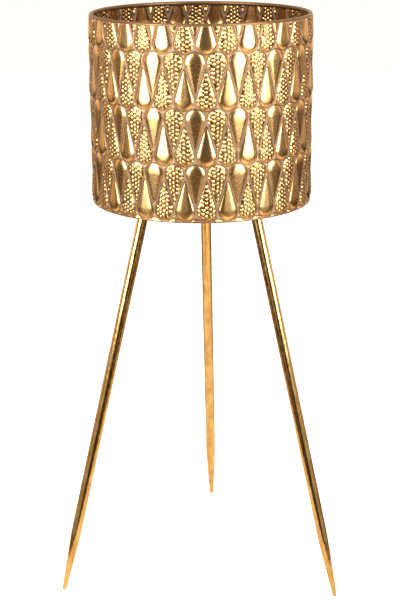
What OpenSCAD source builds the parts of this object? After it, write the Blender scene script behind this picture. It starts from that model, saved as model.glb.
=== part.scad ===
// Embossed brass planter pot on three splayed legs.
// The origin is on the floor, under the pot's axis, and the back leg stands towards +Y.

/* [Pot] */
// Outer diameter of the pot, over the crests of the embossing
pot_d = 250; // [200:5:320]
// Height of the pot, from its underside to the top of the rim
pot_h = 209; // [150:1:260]
// Thickness of the embossed wall sheet
wall_t = 0.8; // [0.6:0.1:1.2]
// Depth of the embossing, from the ground to the crests
relief = 2.4; // [1.6:0.1:3]
// Diameter of the bead that the wall's top edge is rolled into
bead_d = 4.4; // [4:0.1:4.8]
// Distance from the wall's outer face in to the bead
bead_inset = 1.9; // [1.6:0.1:2.2]
// Radius of the shoulder where the wall turns in to the bead
shoulder_r = 2; // [1.5:0.1:2.4]
// Width of the hem that turns in under the base
hem_w = 8.5; // [8:0.5:12]
// Radius of the wall's bottom corner
corner_r = 1.6; // [1.3:0.1:3]

/* [Base] */
// Thickness of the base sheet
base_t = 0.8; // [0.6:0.1:1.5]
// Height of the base's upturned edge, which is soldered inside the wall
base_edge_h = 9; // [7:0.5:20]
// Inner radius of the bend between the base and its edge
base_bend_r = 3; // [3:0.1:5]

/* [Stand] */
// Overall height, from the floor to the top of the rim
total_h = 665; // [480:5:820]
// Distance from the pot's axis to a leg's axis at the pot's underside
leg_top_r = 70; // [50:1:80]
// Distance from the pot's axis to a leg's axis at the floor
leg_foot_r = 184.5; // [120:0.5:220]
// Outside diameter of the leg tube
leg_d = 12; // [11:0.5:16]
// Wall thickness of the leg tube
leg_wall = 1; // [0.8:0.1:1.2]
// Length of the tapered point at the foot
point_l = 68; // [40:1:100]
// Diameter of the point's rounded end
tip_d = 5; // [4:0.1:8]
// Length of the spigot that holds the point in the tube
spigot_l = 18; // [10:1:30]

/* [Leg sockets] */
// Diameter of the round plate welded under the base
plate_d = 42; // [36:1:50]
// Thickness of the round plate
plate_t = 2; // [1.5:0.1:3]
// Outside diameter of the threaded socket
socket_d = 17; // [15:0.5:20]
// Length of the socket below the plate, along the leg's axis
socket_l = 13; // [12:0.5:20]
// Outside diameter of the threaded stud
stud_d = 6; // [5:1:7]
// Length of the bush inside the tube
bush_l = 16; // [10:1:25]
// Thickness of the bush's collar, which the tube butts against
collar_t = 2; // [1.5:0.1:4]

/* [Hidden] */
// Legs, counted anticlockwise from above
SIDES = ["back", "left", "right"];
LEG_PIECES = ["socket_plate", "leg_socket", "leg_stud", "leg_bush", "leg_tube", "leg_point"];
$fn = 96;

// Clearances
wire_gap = 0.05;
thread_gap = 0.05;
solder_gap = 0.05;

// Pot
pot_r = pot_d / 2;
underside_z = total_h - pot_h;
wall_in_r = pot_r - wall_t;
bead_r = bead_d / 2;
bead_at_r = pot_r - bead_inset - bead_r;
bead_z = total_h - bead_r;
wire_r = bead_r - wall_t - wire_gap;
shoulder_z = total_h - bead_d + wall_t;
wall_top_z = shoulder_z - shoulder_r;

// Base, which lies on the hem and fits between the inner faces of the embossing's ground
base_z = underside_z + wall_t;
base_r = wall_in_r - relief - solder_gap;
base_out_bend_r = base_bend_r + base_t;

// Legs: a distance s runs down the leg's axis from the pot's underside
leg_step = 360 / len(SIDES);
leg_tilt = atan2(leg_foot_r - leg_top_r, underside_z);
tip_r = tip_d / 2;
tip_s = (underside_z - tip_r) / cos(leg_tilt);
point_s = tip_s - point_l;
tube_bore_d = leg_d - 2 * leg_wall;
plate_z = base_z - plate_t;
socket_s = plate_t + socket_l;
tube_s = socket_s + collar_t;
bush_s = tube_s + bush_l;
bush_end_t = 2;
stud_cover = 3;
stud_s = plate_t + stud_cover;
bore_slack = 1;

// Puts a piece on one leg's axis. Distances run down the leg as negative Z from the pot's underside.
module on_leg(leg) {
    rotate([0, 0, leg_step * leg])
        translate([0, leg_top_r, underside_z])
            rotate([leg_tilt, 0, 0])
                children();
}

// A cylinder down a leg's axis, between two distances from the pot's underside.
module leg_rod(d, from_s, to_s) {
    translate([0, 0, -to_s])
        cylinder(d = d, h = to_s - from_s);
}

// A quarter ring in the profile plane, open towards +X and -Y.
module corner_profile(out_r, t) {
    intersection() {
        difference() {
            circle(r = out_r);
            circle(r = out_r - t);
        }
        translate([0, -out_r])
            square(out_r);
    }
}

// Wall sheet: rolled bead and shoulder, straight wall, and a hem that turns in under the base.
module pot_wall() {
    color("goldenrod")
        rotate_extrude() {
            translate([bead_at_r, bead_z])
                difference() {
                    circle(r = bead_r);
                    circle(r = bead_r - wall_t);
                }
            translate([bead_at_r + wall_t / 2, shoulder_z - wall_t])
                square([pot_r - shoulder_r - bead_at_r - wall_t / 2, wall_t]);
            translate([pot_r - shoulder_r, wall_top_z])
                mirror([0, 1])
                    corner_profile(shoulder_r, wall_t);
            translate([wall_in_r, underside_z + corner_r])
                square([wall_t, wall_top_z - underside_z - corner_r]);
            translate([pot_r - corner_r, underside_z + corner_r])
                corner_profile(corner_r, wall_t);
            translate([pot_r - hem_w, underside_z])
                square([hem_w - corner_r, wall_t]);
        }
}

// Wire that stiffens the rolled bead.
module rim_wire() {
    color("dimgray")
        rotate_extrude()
            translate([bead_at_r, bead_z])
                circle(r = wire_r);
}

// Shallow pan that closes the pot, soldered inside the wall.
module base_plate() {
    color("darkgoldenrod")
        rotate_extrude() {
            translate([0, base_z])
                square([base_r - base_out_bend_r, base_t]);
            translate([base_r - base_out_bend_r, base_z + base_out_bend_r])
                corner_profile(base_out_bend_r, base_t);
            translate([base_r - base_t, base_z + base_out_bend_r])
                square([base_t, base_edge_h - base_out_bend_r]);
        }
}

// Round plate spot-welded to the underside of the base, which spreads one leg's load.
module socket_plate(leg) {
    color("peru")
        rotate([0, 0, leg_step * leg])
            translate([0, leg_top_r, plate_z])
                cylinder(d = plate_d, h = plate_t);
}

// Internally threaded sleeve, cut at the leg's angle and welded to its plate.
module leg_socket(leg) {
    color("darkgoldenrod")
        difference() {
            on_leg(leg)
                leg_rod(socket_d, -socket_d, socket_s);
            on_leg(leg)
                leg_rod(stud_d + 2 * thread_gap, stud_s - bore_slack, socket_s + bore_slack);
            translate([-pot_r, -pot_r, plate_z])
                cube([pot_d, pot_d, 2 * socket_d]);
        }
}

// Threaded stud that joins a leg to its socket.
module leg_stud(leg) {
    color("silver")
        on_leg(leg)
            leg_rod(stud_d, stud_s, bush_s - bush_end_t - bore_slack);
}

// Collared bush in the tube's upper end, which holds the stud.
module leg_bush(leg) {
    color("goldenrod")
        on_leg(leg)
            difference() {
                union() {
                    leg_rod(leg_d, socket_s, tube_s);
                    leg_rod(tube_bore_d - 2 * solder_gap, tube_s, bush_s);
                }
                leg_rod(stud_d + 2 * thread_gap, socket_s - bore_slack, bush_s - bush_end_t);
            }
}

// Straight tube of a leg.
module leg_tube(leg) {
    color("gold")
        on_leg(leg)
            difference() {
                leg_rod(leg_d, tube_s, point_s);
                leg_rod(tube_bore_d, tube_s - bore_slack, point_s + bore_slack);
            }
}

// Turned foot: a long taper to a rounded end, on a spigot that is soldered into the tube.
module leg_point(leg) {
    color("gold")
        on_leg(leg) {
            leg_rod(tube_bore_d - 2 * solder_gap, point_s - spigot_l, point_s);
            translate([0, 0, -tip_s])
                cylinder(d1 = tip_d, d2 = leg_d, h = point_l);
            translate([0, 0, -tip_s])
                sphere(d = tip_d);
        }
}

pot_wall();
rim_wire();
base_plate();
for (leg = [0:len(SIDES) - 1]) {
    socket_plate(leg);
    leg_socket(leg);
    leg_stud(leg);
    leg_bush(leg);
    leg_tube(leg);
    leg_point(leg);
}
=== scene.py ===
"""Embossed brass planter pot on three gilt legs, built over the frame of its parts."""

import logging
import math
from dataclasses import dataclass, field
from enum import Enum
from typing import Any

import bmesh
import bpy
import numpy as np
from mathutils import Matrix, Vector


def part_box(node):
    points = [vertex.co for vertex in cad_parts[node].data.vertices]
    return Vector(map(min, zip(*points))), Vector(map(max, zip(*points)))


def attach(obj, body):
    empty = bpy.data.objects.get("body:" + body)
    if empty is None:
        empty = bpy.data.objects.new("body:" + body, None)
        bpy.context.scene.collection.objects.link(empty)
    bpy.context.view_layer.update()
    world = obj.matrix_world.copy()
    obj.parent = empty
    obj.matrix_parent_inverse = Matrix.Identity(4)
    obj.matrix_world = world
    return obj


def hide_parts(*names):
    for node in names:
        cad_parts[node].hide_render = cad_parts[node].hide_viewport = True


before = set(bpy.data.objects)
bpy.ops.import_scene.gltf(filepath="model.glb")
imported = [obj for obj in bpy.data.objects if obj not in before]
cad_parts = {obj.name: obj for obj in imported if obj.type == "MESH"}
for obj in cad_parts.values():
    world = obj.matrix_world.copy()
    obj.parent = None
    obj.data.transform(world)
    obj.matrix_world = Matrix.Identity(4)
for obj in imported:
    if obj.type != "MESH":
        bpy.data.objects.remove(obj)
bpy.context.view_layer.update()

LOG = logging.getLogger("planter")
MM = 0.001
BODY = "root"
SIDES = ("back", "left", "right")
PATTERN_MAP = "Unrolled"
BAKE_MAP = "OFBake"
POLISH = "polish"
PAINTED_SHADE = "painted_shade"
WHITE = "FFFFFF"
MIDDLE = (0.3, 0.7)
SHARP_FROM = math.radians(40)
WELD_MM = 0.001
Array = np.ndarray
Material = bpy.types.Material
Tree = bpy.types.NodeTree
Span = tuple[float, float]
Rgba = tuple[float, float, float, float]
Row = tuple[float, float, float, float]


def linear(hex_colour: str) -> Rgba:
    """Turns an sRGB hex colour into linear RGBA.

    Args:
        hex_colour: six hex digits.

    Returns:
        Linear red, green and blue, and a full alpha.
    """
    channels = [int(hex_colour[i:i + 2], 16) / 255 for i in (0, 2, 4)]
    knee, power = 0.04045, 2.4
    lin = [c / 12.92 if c <= knee else ((c + 0.055) / 1.055) ** power for c in channels]
    return (lin[0], lin[1], lin[2], 1.0)


def scaled(power: float, colour: str = WHITE) -> Rgba:
    """A colour scaled by a power, as linear RGBA."""
    red, green, blue, _ = linear(colour)
    return (red * power, green * power, blue * power, 1.0)


def smooth_step(low: float, high: float, value: Array) -> Array:
    """Eases from 0 to 1.

    Args:
        low: where the result is 0; it may be larger than high.
        high: where the result is 1.
        value: the places to look up.

    Returns:
        The eased share for each place.
    """
    t = np.clip((value - low) / (high - low), 0.0, 1.0)
    return t * t * (3.0 - 2.0 * t)


def add_node(tree: Tree, kind: str, links: dict[Any, Any] | None = None,
             **settings: Any) -> bpy.types.Node:
    """Adds one node.

    Args:
        tree: the node tree that gets the node.
        kind: the node's type name.
        links: input name or index, to an output socket or a plain value.
        **settings: attributes of the node.

    Returns:
        The new node.
    """
    made = tree.nodes.new(kind)
    for name, value in settings.items():
        setattr(made, name, value)
    for key, value in (links or {}).items():
        if isinstance(value, bpy.types.NodeSocket):
            tree.links.new(value, made.inputs[key])
        else:
            made.inputs[key].default_value = value
    return made


def maths(tree: Tree, operation: str, *values: Any, clamp: bool = False) -> Any:
    """Adds a Math node.

    Args:
        tree: the node tree.
        operation: the node's operation.
        *values: its inputs, each a number or a socket.
        clamp: whether the result is held between 0 and 1.

    Returns:
        The node's output.
    """
    links = dict(enumerate(values))
    made = add_node(tree, "ShaderNodeMath", links, operation=operation, use_clamp=clamp)
    return made.outputs[0]


def mixed(tree: Tree, share: Any, first: Any, second: Any) -> Any:
    """Mixes two colours.

    Args:
        tree: the node tree.
        share: how much of the second colour there is, from 0 to 1.
        first: the colour at share 0.
        second: the colour at share 1.

    Returns:
        The mixed colour's socket.
    """
    links = {0: share, 6: first, 7: second}
    made = add_node(tree, "ShaderNodeMix", links, data_type="RGBA", clamp_factor=True)
    return made.outputs[2]


def eased(tree: Tree, value: Any, span: Span,
          to: Span = (0.0, 1.0)) -> Any:
    """Maps a value smoothly from one span to another.

    Args:
        tree: the node tree.
        value: the value's socket.
        span: where the result begins and ends to change.
        to: the result at each end of the span.

    Returns:
        The result's socket.
    """
    links = {0: value, 1: span[0], 2: span[1], 3: to[0], 4: to[1]}
    made = add_node(tree, "ShaderNodeMapRange", links, interpolation_type="SMOOTHSTEP")
    return made.outputs[0]


def noise(tree: Tree, place: Any, size_mm: float, detail: float = 2.0,
          stretch: tuple[float, float, float] = (1.0, 1.0, 1.0)) -> Any:
    """Adds a noise pattern and returns its value.

    Args:
        tree: the node tree.
        place: the coordinates, in metres.
        size_mm: the size of one blotch in millimetres.
        detail: the octaves of finer noise.
        stretch: how much longer the blotches are along each axis.

    Returns:
        The noise value's socket, from 0 to 1.
    """
    shrink = [1 / each for each in stretch]
    pressed = add_node(tree, "ShaderNodeVectorMath", {0: place, 1: shrink},
                       operation="MULTIPLY")
    links = {"Vector": pressed.outputs[0], "Scale": 1 / (size_mm * MM), "Detail": detail}
    return add_node(tree, "ShaderNodeTexNoise", links).outputs[0]


def ranged(tree: Tree, value: Any, to: Span,
           span: Span = (0.0, 1.0)) -> Any:
    """Maps a value in a straight line from one span to another.

    Args:
        tree: the node tree.
        value: the value's socket.
        to: the result at each end of the span.
        span: the values that give those results.

    Returns:
        The result's socket.
    """
    links = {0: value, 1: span[0], 2: span[1], 3: to[0], 4: to[1]}
    return add_node(tree, "ShaderNodeMapRange", links).outputs[0]


def empty_material(name: str) -> tuple[Material, Tree]:
    """Makes an empty material with nodes, and returns it and its tree."""
    made = bpy.data.materials.new(name)
    made.use_nodes = True
    made.node_tree.nodes.clear()
    return made, made.node_tree


def light_up(tree: Tree, colour: str, power: Any) -> None:
    """Makes a material give off light.

    Args:
        tree: the material's empty node tree.
        colour: the light's sRGB hex colour.
        power: the light's strength, as a number or a socket.
    """
    light = add_node(tree, "ShaderNodeEmission", {0: linear(colour), 1: power})
    add_node(tree, "ShaderNodeOutputMaterial", {"Surface": light.outputs[0]})


class Metal(Enum):
    """The metals' common names, which their finishes are named after."""

    EMBOSSED_BRASS = "embossed antique brass sheet"
    GILT_BRASS = "gold-leafed brass tube"
    PATINA_BRASS = "patinated brass sheet"
    IRON_WIRE = "drawn iron wire"
    ZINC_STEEL = "zinc-plated steel thread"


@dataclass(frozen=True)
class Finish:
    """One metal finish: a name, its typical colours and how rough it is."""

    metal: Metal
    bright: str
    dull: str
    bright_roughness: float
    dull_roughness: float

    def start(self) -> tuple[Material, Tree, bpy.types.Node]:
        """Makes an empty material and returns it, its tree and its Principled shader."""
        material, tree = empty_material(self.metal.value)
        shader = add_node(tree, "ShaderNodeBsdfPrincipled")
        add_node(tree, "ShaderNodeOutputMaterial", {"Surface": shader.outputs[0]})
        return material, tree, shader

    def surface(self, tree: Tree, shader: bpy.types.Node, mark: Any,
                height: Any, depth_mm: float, strength: float) -> None:
        """Gives a plain metal its gloss and its fine marks.

        Args:
            tree: the material's node tree.
            shader: its Principled shader.
            mark: the pattern that varies the gloss.
            height: the pattern that raises the surface.
            depth_mm: how high the marks stand, in millimetres.
            strength: how strongly they show, from 0 to 1.
        """
        rough = ranged(tree, mark, (self.bright_roughness, self.dull_roughness), MIDDLE)
        tree.links.new(rough, shader.inputs["Roughness"])
        shader.inputs["Metallic"].default_value = 1.0
        bump = add_node(tree, "ShaderNodeBump", {
            "Strength": strength, "Distance": depth_mm * MM, "Height": height})
        tree.links.new(bump.outputs[0], shader.inputs["Normal"])


@dataclass(frozen=True)
class EmbossedBrass(Finish):
    """Die-rolled brass sheet, darkened by acid and then rubbed bright on the crests.

    The rubbed crests are mirror-like gold with fine sideways rubbing marks, and the ground
    between them keeps a mauve-brown, nearly matt patina.
    """

    rub_mm: float = 0.45
    rub_stretch: float = 14.0
    rub_depth_mm: float = 0.05
    rub_strength: float = 0.07
    rub_gloss: float = 0.12
    blotch_mm: float = 7.0
    blotch_share: float = 0.35
    worn_span: Span = (0.12, 0.85)
    second_bright: str = "E8B472"
    second_dull: str = "59402E"
    dull_metallic: float = 0.55
    # The painted shade's dark brown, and how much of it the darkest places get.
    painted_shade: str = "5A3616"
    shade_share: float = 0.85

    def material(self) -> Material:
        """Builds the finish from the mesh's polish values.

        Returns:
            The material.
        """
        material, tree, shader = self.start()
        place = add_node(tree, "ShaderNodeUVMap", uv_map=PATTERN_MAP).outputs[0]
        polish = add_node(tree, "ShaderNodeAttribute", attribute_name=POLISH).outputs["Fac"]
        blotch = noise(tree, place, self.blotch_mm, 4.0)
        rub = noise(tree, place, self.rub_mm, 2.0, (self.rub_stretch, 1.0, 1.0))
        # Uneven rubbing: the crests are worn bright in patches, never in a clean line.
        uneven = maths(tree, "MULTIPLY", maths(tree, "SUBTRACT", blotch, 0.5), self.blotch_share)
        worn = eased(tree, maths(tree, "ADD", polish, uneven), self.worn_span)
        # Two golds and two browns keep both metals from looking like one flat paint.
        tone = eased(tree, blotch, MIDDLE)
        gold = mixed(tree, tone, linear(self.bright), linear(self.second_bright))
        patina = mixed(tree, tone, linear(self.dull), linear(self.second_dull))
        # Painted shade: a dark brown laid over the grooves, between the nubs, on the rim and hem
        # and all over the inside, drawing every drop's outline.
        painted_shade = add_node(tree, "ShaderNodeAttribute", attribute_name=PAINTED_SHADE).outputs["Fac"]
        shade_amount = maths(tree, "MULTIPLY", painted_shade, self.shade_share)
        colour = mixed(tree, shade_amount, mixed(tree, worn, patina, gold), linear(self.painted_shade))
        tree.links.new(colour, shader.inputs["Base Color"])
        # Rubbing marks break the mirror on the crests into short sideways glints.
        streak = maths(tree, "MULTIPLY", maths(tree, "SUBTRACT", rub, 0.5), self.rub_gloss)
        rough = ranged(tree, worn, (self.dull_roughness, self.bright_roughness))
        rough = maths(tree, "ADD", rough, streak, clamp=True)
        tree.links.new(rough, shader.inputs["Roughness"])
        metal = ranged(tree, worn, (self.dull_metallic, 1.0))
        tree.links.new(metal, shader.inputs["Metallic"])
        bump = add_node(tree, "ShaderNodeBump", {
            "Strength": self.rub_strength, "Distance": self.rub_depth_mm * MM, "Height": rub})
        tree.links.new(bump.outputs[0], shader.inputs["Normal"])
        return material


@dataclass(frozen=True)
class GiltBrass(Finish):
    """Brass tube under hand-laid gold leaf: deep orange gold with uneven gloss and faint
    bands where the leaf laps and wrinkles."""

    leaf_mm: float = 9.0
    leaf_stretch: float = 2.5
    wrinkle_mm: float = 2.2
    wrinkle_stretch: float = 3.0
    wrinkle_depth_mm: float = 0.25
    wrinkle_strength: float = 0.35

    def material(self) -> Material:
        """Builds the finish.

        Returns:
            The material.
        """
        material, tree, shader = self.start()
        place = add_node(tree, "ShaderNodeTexCoord").outputs["Object"]
        # The leaves' own tones: paler gold laps over deeper gold down the leg.
        leaf = noise(tree, place, self.leaf_mm, 4.0, (1.0, 1.0, self.leaf_stretch))
        colour = mixed(tree, eased(tree, leaf, MIDDLE), linear(self.bright), linear(self.dull))
        tree.links.new(colour, shader.inputs["Base Color"])
        # Wrinkles bend the bright band along the leg and dull it in places.
        wrinkle = noise(tree, place, self.wrinkle_mm, 3.0, (1.0, 1.0, self.wrinkle_stretch))
        height = maths(tree, "ADD", wrinkle, leaf)
        self.surface(tree, shader, wrinkle, height, self.wrinkle_depth_mm,
                     self.wrinkle_strength)
        return material


@dataclass(frozen=True)
class WorkedMetal(Finish):
    """Plain worked metal: a blotchy tone, and drawn or rubbed marks along one axis."""

    mark_mm: float = 0.8
    mark_depth_mm: float = 0.08
    mark_strength: float = 0.3
    stretch: tuple[float, float, float] = (1.0, 1.0, 12.0)
    blotch_mm: float = 14.0
    blotch_span: Span = (0.3, 0.72)

    def material(self) -> Material:
        """Builds the finish.

        Returns:
            The material.
        """
        material, tree, shader = self.start()
        place = add_node(tree, "ShaderNodeTexCoord").outputs["Object"]
        # Soft blotches, as on metal that has been handled and has aged.
        blotch = noise(tree, place, self.blotch_mm, 5.0)
        tone = eased(tree, blotch, self.blotch_span)
        colour = mixed(tree, tone, linear(self.bright), linear(self.dull))
        tree.links.new(colour, shader.inputs["Base Color"])
        # Long fine marks show which way the metal was drawn or rubbed.
        mark = noise(tree, place, self.mark_mm, 2.0, self.stretch)
        self.surface(tree, shader, mark, mark, self.mark_depth_mm, self.mark_strength)
        return material


class Finishes:
    """The object's finishes, each made once."""

    def __init__(self) -> None:
        """Makes every material."""
        self.embossed = EmbossedBrass(
            Metal.EMBOSSED_BRASS, "DDA562", "70523F", 0.25, 0.5).material()
        self.gilt = GiltBrass(Metal.GILT_BRASS, "F2C074", "D6A056", 0.1, 0.24).material()
        self.patina = WorkedMetal(
            Metal.PATINA_BRASS, "A87B4C", "8F6A45", 0.32, 0.48).material()
        self.iron = WorkedMetal(Metal.IRON_WIRE, "6A6662", "4A4542", 0.3, 0.5).material()
        self.zinc = WorkedMetal(
            Metal.ZINC_STEEL, "C4C4BE", "9C9C98", 0.25, 0.42).material()


class Family(Enum):
    """The two families of drops: which end of the drop is up."""

    BULB_UP = "bulb up"
    BULB_DOWN = "bulb down"


@dataclass
class DropPattern:
    """The embossed drops as a height over the unrolled wall, in millimetres.

    Along the wall, x runs round from the first bulb-up column; depth runs down from the
    top of the rim. Bulb-down columns stand halfway between the bulb-up ones.
    """

    columns: int = 34
    pitch: float = 23.1
    band: float = 58.6
    bulb_r: float = 10.15
    tip_r: float = 0.95
    drop_l: float = 42.0
    up_top: float = 29.4
    down_bottom: float = 31.0
    crest: float = 1.6
    crest_power: float = 0.8
    roundness: float = 4.4
    ridge: float = 0.85
    ridge_polish: float = 0.34
    groove_w: float = 1.0
    # Where the painted shade in the grooves lies and how dark it is.
    groove_middle: float = 0.15
    groove_fade: Span = (0.75, 0.1)
    groove_shade: float = 0.95
    rub_edge: float = 0.2
    dimple_edge: Span = (0.95, 0.85)
    dimple_fade: float = 0.5
    # How dark the painted shade between the nubs is.
    dimple_shade: float = 0.7
    dimple_dulling: float = 0.25
    nub_r: float = 2.05
    nub_h: float = 0.8
    nub_step: float = 4.45
    nub_jitter: float = 0.6
    nub_spread: float = 0.12
    nub_seed: int = 7
    nub_reach: float = 0.9
    junction_nub_r: float = 1.1
    junction_nub_h: float = 0.5
    junction_nub_away: float = 2.5
    junction_nub_polish: float = 0.9
    bands: tuple[int, ...] = (-1, 0, 1, 2, 3)
    nubs: Array = field(init=False)

    def __post_init__(self) -> None:
        """Works out the spine of a drop and places the nubs of a dimpled one."""
        self.spine = self.drop_l - self.bulb_r - self.tip_r
        self.lean = (self.bulb_r - self.tip_r) / self.spine
        self.slant = math.sqrt(1.0 - self.lean ** 2)
        self.nubs = self.place_nubs()

    def place_nubs(self) -> Array:
        """Sets out the nubs of a dimpled drop in staggered rows, a little unevenly.

        Returns:
            The nubs' places in the drop's own frame, x across and y from bulb to tip, and
            each nub's size against the usual one.
        """
        rng = np.random.default_rng(self.nub_seed)
        column_w = self.nub_step * math.sqrt(3.0) / 2.0
        places = []
        for column in range(-3, 4):
            for step in range(-3, 14):
                x = column * column_w
                y = (step + 0.5 * (column % 2)) * self.nub_step
                rho, _, _ = self.drop(np.array([x]), np.array([y]))
                jitter = rng.uniform(-self.nub_jitter, self.nub_jitter, 2)
                size = rng.uniform(1.0 - self.nub_spread, 1.0 + self.nub_spread)
                if rho[0] < self.nub_reach:
                    places.append((x + jitter[0], y + jitter[1], size))
        return np.array(places)

    def drop(self, x: Array, y: Array) -> tuple[Array, Array, Array]:
        """Measures places against one drop.

        Args:
            x: distance across from the drop's spine.
            y: distance from the bulb's centre towards the tip.

        Returns:
            The share of the way out to the outline, the distance outside the outline, and
            the drop's radius there.
        """
        across = np.abs(x)
        along = y - self.lean / self.slant * across
        radius = self.bulb_r - self.lean * np.clip(along, 0.0, self.spine)
        out = across / self.slant
        out = np.where(along < 0.0, np.hypot(across, y), out)
        out = np.where(along > self.spine, np.hypot(across, y - self.spine), out)
        return out / radius, out - radius, radius

    def nearest(self, family: Family, x: Array, depth: Array) -> dict[str, Array]:
        """Measures places against the nearest drop of one family.

        Args:
            family: bulb up or bulb down.
            x: distance round the wall.
            depth: distance below the top of the rim.

        Returns:
            rho, gap, radius, the local x and y, and whether the drop is dimpled.
        """
        up = family is Family.BULB_UP
        shift = 0.0 if up else 0.5
        column = np.round(x / self.pitch - shift)
        local_x = x - (column + shift) * self.pitch
        best: dict[str, Array] = {}
        for band in self.bands:
            if up:
                local_y = depth - (self.up_top + self.bulb_r + band * self.band)
                plain = column % 2 == 0
            else:
                local_y = self.down_bottom - self.bulb_r + band * self.band - depth
                plain = (column + band) % 2 == 0
            rho, gap, radius = self.drop(local_x, local_y)
            made = {"rho": rho, "gap": gap, "radius": radius, "x": local_x, "y": local_y,
                    "dimpled": ~plain}
            if not best:
                best = made
                continue
            closer = gap < best["gap"]
            best = {k: np.where(closer, made[k], best[k]) for k in best}
        return best

    def nub_field(self, x: Array, y: Array) -> Array:
        """Height of a dimpled drop's nubs.

        Args:
            x: places across the drop, in its own frame.
            y: places from the bulb's centre towards the tip.

        Returns:
            The height at each place, from 0 to about 1.
        """
        height = np.zeros_like(x)
        for nub_x, nub_y, size in self.nubs:
            away = np.hypot(x - nub_x, y - nub_y) / (self.nub_r * size)
            raised = size * (0.5 + 0.5 * np.cos(math.pi * away))
            height = np.maximum(height, np.where(away < 1, raised, 0))
        return height

    def junction_nubs(self, family: Family, x: Array, depth: Array) -> Array:
        """Height of the small single nubs beyond the bulbs.

        Args:
            family: bulb up or bulb down.
            x: distance round the wall.
            depth: distance below the top of the rim.

        Returns:
            The height at each place, from 0 to 1.
        """
        near = self.nearest(family, x, depth)
        beyond = near["y"] + self.bulb_r + self.junction_nub_away
        away = np.hypot(near["x"], beyond) / self.junction_nub_r
        return np.where(away < 1, 0.5 + 0.5 * np.cos(math.pi * away), 0.0)

    def relief(self, x: Array, depth: Array) -> tuple[Array, Array, Array]:
        """Height, polish and painted shade of the embossing.

        Args:
            x: distance round the wall.
            depth: distance below the top of the rim.

        Returns:
            The height above the grooves, and the polish and the painted shade from 0 to 1.
        """
        up = self.nearest(Family.BULB_UP, x, depth)
        down = self.nearest(Family.BULB_DOWN, x, depth)
        gap = np.minimum(up["gap"], down["gap"])
        lift = smooth_step(0.0, self.groove_w, gap)
        height = self.ridge * lift
        polish = self.ridge_polish * lift
        # Painted shade darkens the groove on each side of every ridge.
        off = np.abs(gap - self.groove_middle)
        painted_shade = self.groove_shade * smooth_step(*self.groove_fade, off)
        for family in Family:
            small = self.junction_nubs(family, x, depth)
            height = height + self.junction_nub_h * small * (gap > 0)
            polish = np.maximum(polish, self.junction_nub_polish * small * (gap > 0))
        for near in (up, down):
            inside = near["rho"] < 1.0
            rho = np.clip(near["rho"], 0.0, 1.0)
            crest = self.crest * (near["radius"] / self.bulb_r) ** self.crest_power
            dome = crest * (1.0 - rho ** self.roundness)
            rubbed = smooth_step(self.rub_edge, -self.rub_edge, near["gap"])
            dimpled = inside & near["dimpled"]
            nub = np.zeros_like(dome)
            nub[dimpled] = self.nub_field(near["x"][dimpled], near["y"][dimpled])
            low_ground = 1.0 - smooth_step(0.0, self.dimple_fade, nub)
            between = smooth_step(*self.dimple_edge, rho) * low_ground
            between = np.where(dimpled, between, 0.0)
            rubbed = rubbed * (1.0 - self.dimple_dulling * between)
            height = np.where(inside, dome + self.nub_h * nub, height)
            polish = np.where(inside, rubbed, polish)
            # Painted shade darkens the ground between the nubs of a dimpled drop.
            painted_shade = np.where(inside, np.maximum(painted_shade, self.dimple_shade * between), painted_shade)
        return height, polish, painted_shade


def sheet_object(name: str, places: Array, faces: Array, material: Material,
                 maps: dict[str, Array], values: dict[str, Array],
                 weld: bool = False) -> bpy.types.Object:
    """Makes a smooth mesh object from arrays.

    Args:
        name: the piece's name.
        places: vertex places in metres, one row each.
        faces: vertex numbers of the quads, one row each.
        material: the only material.
        maps: UV map name to the corners' UV rows.
        values: attribute name to a value for each vertex.
        weld: whether vertices in one place become one, for a shape with closed ends.

    Returns:
        The new object, linked to the scene.
    """
    mesh = bpy.data.meshes.new(name)
    mesh.vertices.add(len(places))
    mesh.vertices.foreach_set("co", places.astype(np.float32).ravel())
    mesh.loops.add(faces.size)
    mesh.loops.foreach_set("vertex_index", faces.astype(np.int32).ravel())
    mesh.polygons.add(len(faces))
    mesh.polygons.foreach_set("loop_start", np.arange(0, faces.size, 4, dtype=np.int32))
    mesh.update(calc_edges=True)
    mesh.polygons.foreach_set("use_smooth", np.ones(len(faces), bool))
    for map_name, corners in maps.items():
        layer = mesh.uv_layers.new(name=map_name)
        layer.data.foreach_set("uv", corners.astype(np.float32).ravel())
    for value_name, each in values.items():
        layer = mesh.attributes.new(value_name, "FLOAT", "POINT")
        layer.data.foreach_set("value", each.astype(np.float32).ravel())
    if weld:
        shape = bmesh.new()
        shape.from_mesh(mesh)
        bmesh.ops.remove_doubles(shape, verts=shape.verts, dist=WELD_MM * MM)
        shape.to_mesh(mesh)
        shape.free()
    mesh.validate()
    mesh.materials.append(material)
    made = bpy.data.objects.new(name, mesh)
    bpy.context.scene.collection.objects.link(made)
    return made


def adopt(piece: bpy.types.Object, slot: str, *nodes: str) -> bpy.types.Object:
    """Puts a piece on the body, in the place of its CAD nodes.

    Args:
        piece: the new piece.
        slot: not used.
        *nodes: the CAD nodes that the piece stands for.

    Returns:
        The same piece.
    """
    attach(piece, BODY)
    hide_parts(*nodes)
    LOG.info("%s stands for %s", piece.name, ", ".join(nodes))
    return piece


def ring_quads(rows: int, columns: int, closed: bool) -> Array:
    """Numbers the quads of a grid whose columns wrap round.

    Args:
        rows: how many rows of vertices there are.
        columns: how many vertices each row has.
        closed: whether the last row joins the first.

    Returns:
        The vertex numbers of each quad, one row each.
    """
    row = np.arange(rows if closed else rows - 1)[:, None]
    column = np.arange(columns)[None, :]
    below, beside = (row + 1) % rows, (column + 1) % columns
    corners = (row * columns + column, below * columns + column,
               below * columns + beside, row * columns + beside)
    full = [np.broadcast_to(each, (row.size, columns)) for each in corners]
    return np.stack(full, 2).reshape(-1, 4)


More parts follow.
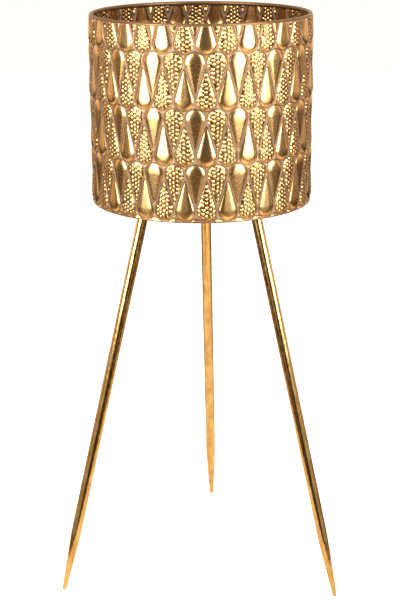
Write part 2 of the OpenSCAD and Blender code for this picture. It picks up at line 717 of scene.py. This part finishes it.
def unrolled(run: Array, columns: int) -> tuple[Array, Array]:
    """Unrolls the quads of a grid whose columns wrap round.

    Args:
        run: where each row lies along the other way, with one more value for the end.
        columns: how many vertices each row has.

    Returns:
        For each quad's corners: the share of the way round, and the run.
    """
    row = np.arange(len(run) - 1)[:, None]
    column = np.arange(columns)[None, :]
    shape = (len(row), columns, 4)
    around = np.stack([column, column, column + 1, column + 1], 2) / columns
    along = np.stack([run[row], run[row + 1], run[row + 1], run[row]], 2)
    return np.broadcast_to(around, shape), np.broadcast_to(along, shape)


@dataclass
class EmbossedWall:
    """The pot's wall: one sheet with its embossing, its rolled rim and its hem."""

    material: Material
    pattern: DropPattern = field(default_factory=DropPattern)
    first_column: float = math.radians(0.7)
    samples: int = 40
    sheet: float = 0.7
    bead: float = 2.2
    bead_inset: float = 1.9
    shoulder: float = 1.6
    shoulder_depth: float = 1.9
    bead_outer: tuple[float, float, int] = (-10.0, 20.0, 4)
    bead_inner: tuple[float, float, int] = (80.0, 345.0, 22)
    bead_polish: float = 0.42
    wall_polish: float = 0.5
    hem_polish: float = 0.3
    inner_polish: float = 0.25
    hem_w: float = 8.5
    hem_r: float = 0.6
    hem_turn_rows: int = 6
    hem_rows: int = 8
    hem_join: float = 1.0
    top_fade: Span = (0.3, 1.8)
    foot_fade: Span = (0.2, 1.0)
    inner_fade: Span = (2.2, 4.0)
    lip_share: float = 0.5
    lip_l: float = 1.0
    outer_step: float = 0.58
    inner_step: float = 0.9
    inner_rub: float = 0.85
    # How dark the painted shade over the whole inside is.
    inner_shade: float = 0.34
    # How dark the painted shade over the rim, the shoulder and the hem is.
    rim_shade: float = 0.85
    outer_rows: int = 0

    def profile(self) -> tuple[Array, Array, Array, Array]:
        """Sets out the wall's closed cross-section, down the outside and up the inside.

        Returns:
            For each row: the radius, the depth below the rim, the share of the embossing
            that it takes, and the polish that it has where there is no embossing.
        """
        low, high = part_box("pot_wall")
        radius = high.x / MM
        tall = (high.z - low.z) / MM
        crest = self.pattern.crest + self.pattern.nub_h
        ground = radius - crest
        bead_at = radius - self.bead_inset - self.bead
        rows = self.bead_rows(bead_at, *self.bead_outer)
        outer_from, outer_to = self.shoulder_depth, tall - 2.0 * self.hem_r
        count = int((outer_to - outer_from) / self.outer_step)
        for depth in np.linspace(outer_from, outer_to, count):
            below = depth - outer_from
            # The embossing fades in under the shoulder and out over the bottom edge.
            share = min((below + self.top_fade[0]) / self.top_fade[1],
                        (outer_to - depth + self.foot_fade[0]) / self.foot_fade[1])
            share = smooth_step(0.0, 1.0, share)
            flare = 1 - min(1.0, (outer_to - depth) / self.lip_l)
            lip = self.lip_share * crest * flare
            rows.append((ground - self.shoulder_drop(below) + lip, depth, share,
                         self.wall_polish))
        lip_r = radius - self.lip_share * crest
        hem_r = lip_r - self.hem_r
        for step in range(1, self.hem_turn_rows + 1):
            turn = math.pi / 2 * step / self.hem_turn_rows
            rows.append((hem_r + self.hem_r * math.cos(turn),
                         tall - self.hem_r + self.hem_r * math.sin(turn), 0.0,
                         self.wall_polish))
        for step in range(1, self.hem_rows + 1):
            rows.append((hem_r - (self.hem_w - self.hem_r) * step / self.hem_rows,
                         tall, 0.0, self.hem_polish))
        self.outer_rows = len(rows)
        inner = ground - self.sheet
        floor = tall - self.sheet
        rows.append((lip_r - self.hem_w, floor, 0.0, self.hem_polish))
        rows.append((inner - self.hem_join, floor, 0.0, self.hem_polish))
        inner_from, inner_to = floor - self.hem_join, self.shoulder_depth + self.sheet
        count = int((inner_from - inner_to) / self.inner_step)
        for depth in np.linspace(inner_from, inner_to, count):
            share = min((depth - inner_to) / self.inner_fade[0],
                        (inner_from - depth) / self.inner_fade[1])
            share = smooth_step(0.0, 1.0, share)
            drop_in = self.shoulder_drop(depth - inner_to)
            rows.append((inner - drop_in, depth, share, self.inner_polish))
        rows += self.bead_rows(bead_at, *self.bead_inner)
        table = np.array(rows)
        return table[:, 0], table[:, 1], table[:, 2], table[:, 3]

    def bead_rows(self, at: float, start: float, end: float, count: int) -> list[Row]:
        """Sets out rows round part of the bead.

        Args:
            at: the radius of the bead's axis.
            start: the first row's angle in degrees, from outward and then down.
            end: the last row's angle.
            count: how many rows there are.

        Returns:
            The rows, as profile gives them.
        """
        turns = [math.radians(start + (end - start) * step / (count - 1))
                 for step in range(count)]
        return [(at + self.bead * math.cos(turn), self.bead + self.bead * math.sin(turn),
                 0.0, self.bead_polish) for turn in turns]

    def shoulder_drop(self, below: float) -> float:
        """How far the shoulder pulls in a row that lies this far below its top."""
        left = max(0.0, self.shoulder - below)
        return self.shoulder - math.sqrt(self.shoulder ** 2 - left ** 2)

    def build(self) -> bpy.types.Object:
        """Builds the wall.

        Returns:
            The wall's object.
        """
        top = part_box("pot_wall")[1].z / MM
        radius, depth, share, plain = self.profile()
        columns = self.pattern.columns * self.samples
        turn = np.arange(columns) / columns * 2 * math.pi
        x = turn / (2 * math.pi) * self.pattern.columns * self.pattern.pitch
        grid_x, grid_depth = np.meshgrid(x, depth)
        height, polish, painted_shade = self.pattern.relief(grid_x, grid_depth)
        out = radius[:, None] + share[:, None] * height
        rubbed = np.where(np.arange(len(radius)) < self.outer_rows, 1.0, self.inner_rub)
        bare = (1 - share[:, None]) * plain[:, None]
        polish = share[:, None] * polish * rubbed[:, None] + bare
        # Painted shade darkens the whole inside.
        inside = np.arange(len(radius))[:, None] >= self.outer_rows
        painted_shade = np.where(inside, np.maximum(painted_shade, self.inner_shade), painted_shade)
        # Painted shade darkens every row without embossing: the rim bead, the shoulder and the
        # hem.
        painted_shade = share[:, None] * painted_shade + (1 - share[:, None]) * self.rim_shade
        azimuth = turn[None, :] + self.first_column
        places = np.stack([out * np.sin(azimuth), -out * np.cos(azimuth),
                           np.broadcast_to(top - grid_depth, out.shape)], 2).reshape(-1, 3)
        faces = ring_quads(len(radius), columns, closed=True)
        return sheet_object("Pot_wall", places * MM, faces, self.material,
                            self.maps(radius, depth, columns), {POLISH: polish, PAINTED_SHADE: painted_shade})

    def maps(self, radius: Array, depth: Array, columns: int) -> dict[str, Array]:
        """Unrolls the wall, in metres for the patterns and as shares that fill a square.

        Args:
            radius: each row's radius.
            depth: each row's depth below the rim.
            columns: how many vertices each row has.

        Returns:
            The two UV maps.
        """
        run = np.concatenate([[0.0], np.cumsum(np.hypot(np.diff(radius), np.diff(depth)))])
        end = run[-1] + math.hypot(radius[0] - radius[-1], depth[0] - depth[-1])
        run = np.append(run, end)
        round_mm = self.pattern.columns * self.pattern.pitch
        u, v = unrolled(run, columns)
        metres = np.stack([u * round_mm * MM, v * MM], 3).reshape(-1, 2)
        square = np.stack([u, v / end], 3).reshape(-1, 2)
        return {BAKE_MAP: square, PATTERN_MAP: metres}


@dataclass
class Pot:
    """The pot: its embossed wall, the wire in its rim and its base pan."""

    finishes: Finishes

    def build(self) -> None:
        """Builds the wall and dresses the pieces that keep their CAD shape."""
        wall = EmbossedWall(self.finishes.embossed).build()
        adopt(wall, "embossed_brass", "pot_wall")
        dress("rim_wire", self.finishes.iron)
        dress("base_plate", self.finishes.patina)


def dress(node: str, material: Material) -> None:
    """Gives a CAD node its finish."""
    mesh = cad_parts[node].data
    if not mesh.materials:
        mesh.materials.append(material)
    for slot in range(len(mesh.materials)):
        mesh.materials[slot] = material
    LOG.info("%s dressed in %s", node, material.name)


@dataclass
class LegSkin:
    """The outside of one leg: its tube and its turned foot, both a little uneven under the
    leaf. Distances run down the leg's axis, in millimetres."""

    side: str
    material: Material
    radius: float = 6.0
    wall: float = 1.0
    tip_r: float = 2.5
    point_l: float = 68.0
    spigot_l: float = 18.0
    spigot_gap: float = 0.05
    joint_gap: float = 0.01
    taper_power: float = 1.12
    ripple: float = 0.07
    row_step: float = 1.2
    bore_rows: int = 40
    taper_rows: int = 57
    tip_rows: int = 9
    columns: int = 56

    def __post_init__(self) -> None:
        """Finds the leg's axis from its stud and its tube."""
        low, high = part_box(f"leg_tube_{self.side}")
        stud_low, stud_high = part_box(f"leg_stud_{self.side}")
        middle = (Vector(low) + Vector(high)) / 2
        self.down = (middle - (Vector(stud_low) + Vector(stud_high)) / 2).normalized()
        tilt = math.acos(-self.down.z)
        tall = (high[2] - low[2]) / MM
        self.length = (tall - 2 * self.radius * math.sin(tilt)) / math.cos(tilt)
        self.start = middle / MM - self.down * self.length / 2
        self.across = self.down.cross(Vector((0, 1, 0))).normalized()
        self.beside = self.across.cross(self.down)

    def uneven(self, turn: Array, run: Array) -> Array:
        """How far the leaf and the drawn tube dip below the full radius.

        Args:
            turn: angles round the axis, in radians.
            run: distances down the axis.

        Returns:
            The dip at each place, in long waves and short ones.
        """
        seed = 1.7 * SIDES.index(self.side)
        slow = np.sin(run / 9.0 + 2.0 * turn + seed) * np.sin(run / 23.0 - turn + seed)
        quick = np.sin(run / 2.3 + 3.0 * turn) * np.sin(run / 5.1 - 2.0 * turn + seed)
        return self.ripple * (1.0 + 0.6 * slow + 0.4 * quick)

    def turned(self, name: str, profile: list[tuple[float, float, bool]],
               hollow: bool) -> bpy.types.Object:
        """Turns a profile round the leg's axis.

        Args:
            name: the piece's name.
            profile: radius, distance down the axis, and whether the row is on the outside.
            hollow: whether the profile goes round a wall, or from the axis to the axis.

        Returns:
            The new piece.
        """
        table = np.array([(r, run) for r, run, _ in profile])
        outside = np.array([seen for _, _, seen in profile])
        turn = np.arange(self.columns) / self.columns * 2 * math.pi
        run = np.broadcast_to(table[:, 1:2], (len(table), self.columns))
        dip = self.uneven(turn[None, :], run) * outside[:, None]
        out = table[:, 0:1] - dip
        places = (np.array(self.start) + run[:, :, None] * np.array(self.down)
                  + (out * np.cos(turn))[:, :, None] * np.array(self.across)
                  + (out * np.sin(turn))[:, :, None] * np.array(self.beside))
        faces = ring_quads(len(table), self.columns, closed=hollow)
        steps = np.hypot(np.diff(table[:, 0]), np.diff(table[:, 1]))
        path = np.concatenate([[0.0], np.cumsum(steps)])
        path = np.append(path, path[-1] + 1.0) / (path[-1] + 1.0)
        u, v = unrolled(path if hollow else path[:-1], self.columns)
        square = np.stack([u, v], 3).reshape(-1, 2)
        made = sheet_object(name, places.reshape(-1, 3) * MM, faces, self.material,
                            {BAKE_MAP: square}, {}, weld=not hollow)
        made.data.set_sharp_from_angle(angle=SHARP_FROM)
        return made

    def tube(self) -> bpy.types.Object:
        """Builds the straight tube.

        Returns:
            The tube, open at both ends, where its bush and its foot go in.
        """
        runs = np.linspace(0.0, self.length, int(self.length / self.row_step))
        profile = [(self.radius, 0.0, True)]
        profile += [(self.radius, run, True) for run in runs[1:-1]]
        profile += [(self.radius, self.length, True)]
        inner = self.radius - self.wall
        bore = np.linspace(self.length, 0.0, self.bore_rows)
        profile += [(inner, run, False) for run in bore]
        return self.turned(f"Leg_tube_{self.side}", profile, hollow=True)

    def point(self) -> bpy.types.Object:
        """Builds the foot.

        Returns:
            The foot: a spigot in the tube, a long taper and a rounded end.
        """
        top, bottom = self.length, self.length + self.point_l
        spigot = self.radius - self.wall - self.spigot_gap
        profile = [(0.0, top - self.spigot_l, False), (spigot, top - self.spigot_l, False),
                   (spigot, top, False), (self.radius, top + self.joint_gap, True)]
        for share in np.linspace(0.0, 1.0, self.taper_rows + 1)[1:]:
            radius = self.radius + (self.tip_r - self.radius) * share ** self.taper_power
            profile.append((radius, top + self.point_l * share, True))
        for step in range(1, self.tip_rows + 1):
            turn = math.pi / 2 * step / self.tip_rows
            round_r = self.tip_r * math.cos(turn) if step < self.tip_rows else 0.0
            uneven = step < self.tip_rows - 2
            profile.append((round_r, bottom + self.tip_r * math.sin(turn), uneven))
        return self.turned(f"Leg_point_{self.side}", profile, hollow=False)


@dataclass
class Stand:
    """The three legs, with the fittings that hold them to the pot."""

    finishes: Finishes

    def build(self) -> None:
        """Builds the legs' skins and dresses the fittings that keep their CAD shape."""
        for side in SIDES:
            skin = LegSkin(side, self.finishes.gilt)
            adopt(skin.tube(), "gilt_brass", f"leg_tube_{side}")
            adopt(skin.point(), "gilt_brass", f"leg_point_{side}")
            dress(f"socket_plate_{side}", self.finishes.patina)
            dress(f"leg_socket_{side}", self.finishes.patina)
            dress(f"leg_stud_{side}", self.finishes.zinc)
            dress(f"leg_bush_{side}", self.finishes.gilt)


def staged(name: str, corners: list[tuple[float, float, float]],
           material: Material) -> bpy.types.Object:
    """Makes a flat object of the studio, which is no part of the pot.

    Args:
        name: the object's name.
        corners: the corners of its only face.
        material: its only material.

    Returns:
        The new object.
    """
    mesh = bpy.data.meshes.new(name)
    mesh.from_pydata(corners, [], [tuple(range(len(corners)))])
    mesh.materials.append(material)
    made = bpy.data.objects.new(name, mesh)
    bpy.context.scene.collection.objects.link(made)
    return made


@dataclass(frozen=True)
class Layer:
    """One layer of plain light, which fades in over a span of elevations in degrees."""

    rise: Span
    power: float
    colour: str = WHITE


@dataclass(frozen=True)
class Panel:
    """One soft panel of the studio, by its direction from the pot. Angles in degrees;
    azimuths count anticlockwise from the camera's side."""

    left: float
    right: float
    low: float
    high: float
    side_edge: float
    low_edge: float
    power: float
    colour: str = WHITE
    high_edge: float = 20.0


@dataclass(frozen=True)
class SoftBox:
    """One lit soft box that stands beside the camera and faces the pot. Its azimuth counts
    anticlockwise from the camera's side, in degrees; lengths are in metres."""

    azimuth: float
    away: float = 1.15
    width: float = 0.92
    low: float = 0.32
    high: float = 1.75
    side_edge: float = 0.22
    low_edge: float = 0.15
    power: float = 14.0
    colour: str = "E4F1FF"

    def material(self) -> Material:
        """Builds the diffuser cloth.

        Returns:
            A material that is bright in the middle and fades to its edges, so that it
            leaves soft-edged bands on the brass.
        """
        made, tree = empty_material("lit white diffuser cloth")
        place = add_node(tree, "ShaderNodeTexCoord").outputs["Object"]
        parts = add_node(tree, "ShaderNodeSeparateXYZ", {0: place}).outputs
        half = self.width / 2
        side = eased(tree, maths(tree, "ABSOLUTE", parts[0]), (half, half - self.side_edge))
        low = eased(tree, parts[2], (self.low, self.low + self.low_edge))
        high = eased(tree, parts[2], (self.high, self.high - self.side_edge))
        share = maths(tree, "MULTIPLY", maths(tree, "MULTIPLY", side, low), high)
        light_up(tree, self.colour, maths(tree, "MULTIPLY", share, self.power))
        return made

    def build(self, name: str, turn: float) -> None:
        """Builds the soft box.

        Args:
            name: the object's name.
            turn: the camera's own azimuth, in radians.
        """
        half = self.width / 2
        corners = [(-half, 0, self.low), (half, 0, self.low),
                   (half, 0, self.high), (-half, 0, self.high)]
        made = staged(name, corners, self.material())
        azimuth = math.radians(self.azimuth) + turn
        place = Vector((math.sin(azimuth), -math.cos(azimuth), 0.0)) * self.away
        made.matrix_world = Matrix.Translation(place) @ Matrix.Rotation(azimuth, 4, "Z")
        made.visible_camera = False


@dataclass
class Studio:
    """The pale floor, the soft boxes and panels around it, and the camera."""

    camera_azimuth: float = math.radians(3.39)
    floor_colour: str = "F7F7F6"
    floor_glow: float = 0.42
    floor_half: float = 30.0
    paper_sides: int = 48
    paper_colour: str = "FFF6EC"
    paper_r: float = 0.36
    paper_drop: float = 0.5 * MM
    paper_power: float = 1.15
    panels: tuple[Panel, ...] = (
        Panel(-105, 105, 50, 84, 20, 10, 1.3, "FFF8EC"),
        Panel(-82, -16, -10, 62, 20, 10, 0.5, "F6F8FF"),
        Panel(18, 86, -10, 62, 20, 10, 0.5, "F6F8FF"),
        Panel(-125, -100, -12, 50, 5, 8, 1.0, "FFF6C8"),
        Panel(98, 262, -8, 60, 24, 10, 1.15, "FFF0DC"),
        Panel(-40, -6, -46, -30, 12, 6, 0.15, "C08040"),
        Panel(8, 50, -66, -30, 14, 8, 1.9, "FFF8EC"),
    )
    boxes: tuple[SoftBox, ...] = (SoftBox(-44.0), SoftBox(47.0))
    base_power: float = 0.036
    base_colour: str = "FFB676"
    layers: tuple[Layer, ...] = (
        Layer((20.0, 75.0), 0.12),
        Layer((-20.0, -32.0), 1.15, "FFF2DE"),
        Layer((-48.0, -70.0), 0.25, "FFD9A8"),
    )

    def world(self) -> None:
        """Builds the soft panels as the world's light. The camera itself sees a plain wall."""
        world = bpy.data.worlds.new("Studio")
        bpy.context.scene.world = world
        world.use_nodes = True
        tree = world.node_tree
        tree.nodes.clear()
        way = add_node(tree, "ShaderNodeTexCoord").outputs["Generated"]
        spin = -self.camera_azimuth
        turned = add_node(tree, "ShaderNodeVectorRotate", {"Vector": way, "Angle": spin},
                          rotation_type="Z_AXIS").outputs[0]
        parts = add_node(tree, "ShaderNodeSeparateXYZ", {0: turned}).outputs
        azimuth = maths(tree, "ARCTAN2", parts[0], maths(tree, "MULTIPLY", parts[1], -1.0))
        azimuth = maths(tree, "MULTIPLY", azimuth, 180 / math.pi)
        rise = maths(tree, "MULTIPLY", maths(tree, "ARCSINE", parts[2]), 180 / math.pi)
        total: Any = scaled(self.base_power, self.base_colour)
        for layer in self.layers:
            share = eased(tree, rise, layer.rise)
            total = mixed(tree, share, total, scaled(layer.power, layer.colour))
        for panel in self.panels:
            share = self.panel_share(tree, panel, azimuth, rise)
            total = mixed(tree, share, total, scaled(panel.power, panel.colour))
        light = add_node(tree, "ShaderNodeBackground", {"Color": total, "Strength": 1.0})
        wall = add_node(tree, "ShaderNodeBackground", {
            "Color": linear(self.floor_colour), "Strength": 1.0})
        path = add_node(tree, "ShaderNodeLightPath")
        seen = add_node(tree, "ShaderNodeMixShader", {
            0: path.outputs["Is Camera Ray"], 1: light.outputs[0], 2: wall.outputs[0]})
        add_node(tree, "ShaderNodeOutputWorld", {"Surface": seen.outputs[0]})

    def panel_share(self, tree: Tree, panel: Panel, azimuth: Any,
                    rise: Any) -> Any:
        """How much a direction lies in a panel, from 0 to 1, with soft edges.

        Args:
            tree: the world's node tree.
            panel: the panel.
            azimuth: the direction's azimuth in degrees.
            rise: the direction's elevation in degrees.

        Returns:
            The share's socket.
        """
        middle = (panel.left + panel.right) / 2
        half = (panel.right - panel.left) / 2
        off = maths(tree, "WRAP", maths(tree, "SUBTRACT", azimuth, middle), 180.0, -180.0)
        side = eased(tree, maths(tree, "ABSOLUTE", off),
                     (half + panel.side_edge / 2, half - panel.side_edge / 2))
        bottom = eased(tree, rise, (panel.low - panel.low_edge / 2,
                                    panel.low + panel.low_edge / 2))
        top = eased(tree, rise, (panel.high + panel.high_edge / 2,
                                 panel.high - panel.high_edge / 2))
        return maths(tree, "MULTIPLY", maths(tree, "MULTIPLY", side, bottom), top)

    def floor(self) -> None:
        """Builds the pale floor."""
        half = self.floor_half
        corners = [(-half, -half, 0), (half, -half, 0), (half, half, 0), (-half, half, 0)]
        material = bpy.data.materials.new("matt white paper")
        material.use_nodes = True
        shader = material.node_tree.nodes["Principled BSDF"]
        shader.inputs["Base Color"].default_value = linear(self.floor_colour)
        shader.inputs["Roughness"].default_value = 0.9
        shader.inputs["Specular IOR Level"].default_value = 0.1
        shader.inputs["Emission Color"].default_value = linear(self.floor_colour)
        shader.inputs["Emission Strength"].default_value = self.floor_glow
        staged("Floor", corners, material).visible_glossy = False

    def paper(self) -> None:
        """Builds the lit sheet of paper under the feet, as the metal alone sees it."""
        steps = self.paper_sides
        ring = [(self.paper_r * math.cos(2 * math.pi * step / steps),
                 self.paper_r * math.sin(2 * math.pi * step / steps), -self.paper_drop)
                for step in range(steps)]
        material, tree = empty_material("lit white paper")
        light_up(tree, self.paper_colour, self.paper_power)
        made = staged("Paper", ring, material)
        made.visible_camera = False
        made.visible_diffuse = False
        made.visible_shadow = False

    def camera(self) -> None:
        """Stands the camera on its tripod: its place, its heading, its dip and its roll."""
        away = 1578.5 * MM
        height = 823.1 * MM
        aside = 4.4 * MM
        heading = self.camera_azimuth + math.radians(0.23)
        dip = math.radians(17.28)
        roll = math.radians(-0.32)
        spin = Matrix.Rotation(self.camera_azimuth, 4, "Z")
        place = spin @ Vector((aside, -away, height))
        ahead = Vector((-math.sin(heading) * math.cos(dip),
                        math.cos(heading) * math.cos(dip), -math.sin(dip)))
        level_right = Vector((math.cos(heading), math.sin(heading), 0.0))
        level_up = level_right.cross(ahead)
        right = level_right * math.cos(roll) + level_up * math.sin(roll)
        up = level_up * math.cos(roll) - level_right * math.sin(roll)
        data = bpy.data.cameras.new("Camera")
        data.lens = 84.64
        data.sensor_width = 36.0
        data.sensor_fit = "AUTO"
        made = bpy.data.objects.new("Camera", data)
        turn = Matrix((right, up, -ahead)).transposed().to_4x4()
        made.matrix_world = Matrix.Translation(place) @ turn
        bpy.context.scene.collection.objects.link(made)
        bpy.context.scene.camera = made

    def build(self) -> None:
        """Builds the whole studio."""
        bpy.context.scene.view_settings.view_transform = "Standard"
        self.world()
        self.floor()
        self.paper()
        for number, box in enumerate(self.boxes):
            box.build(f"Soft_box_{number}", self.camera_azimuth)
        self.camera()


def main() -> None:
    """Builds the studio, the pot and its stand, in that order."""
    logging.basicConfig(level=logging.INFO, format="%(message)s")
    Studio().build()
    finishes = Finishes()
    Pot(finishes).build()
    Stand(finishes).build()


if __name__ == "__main__":
    main()
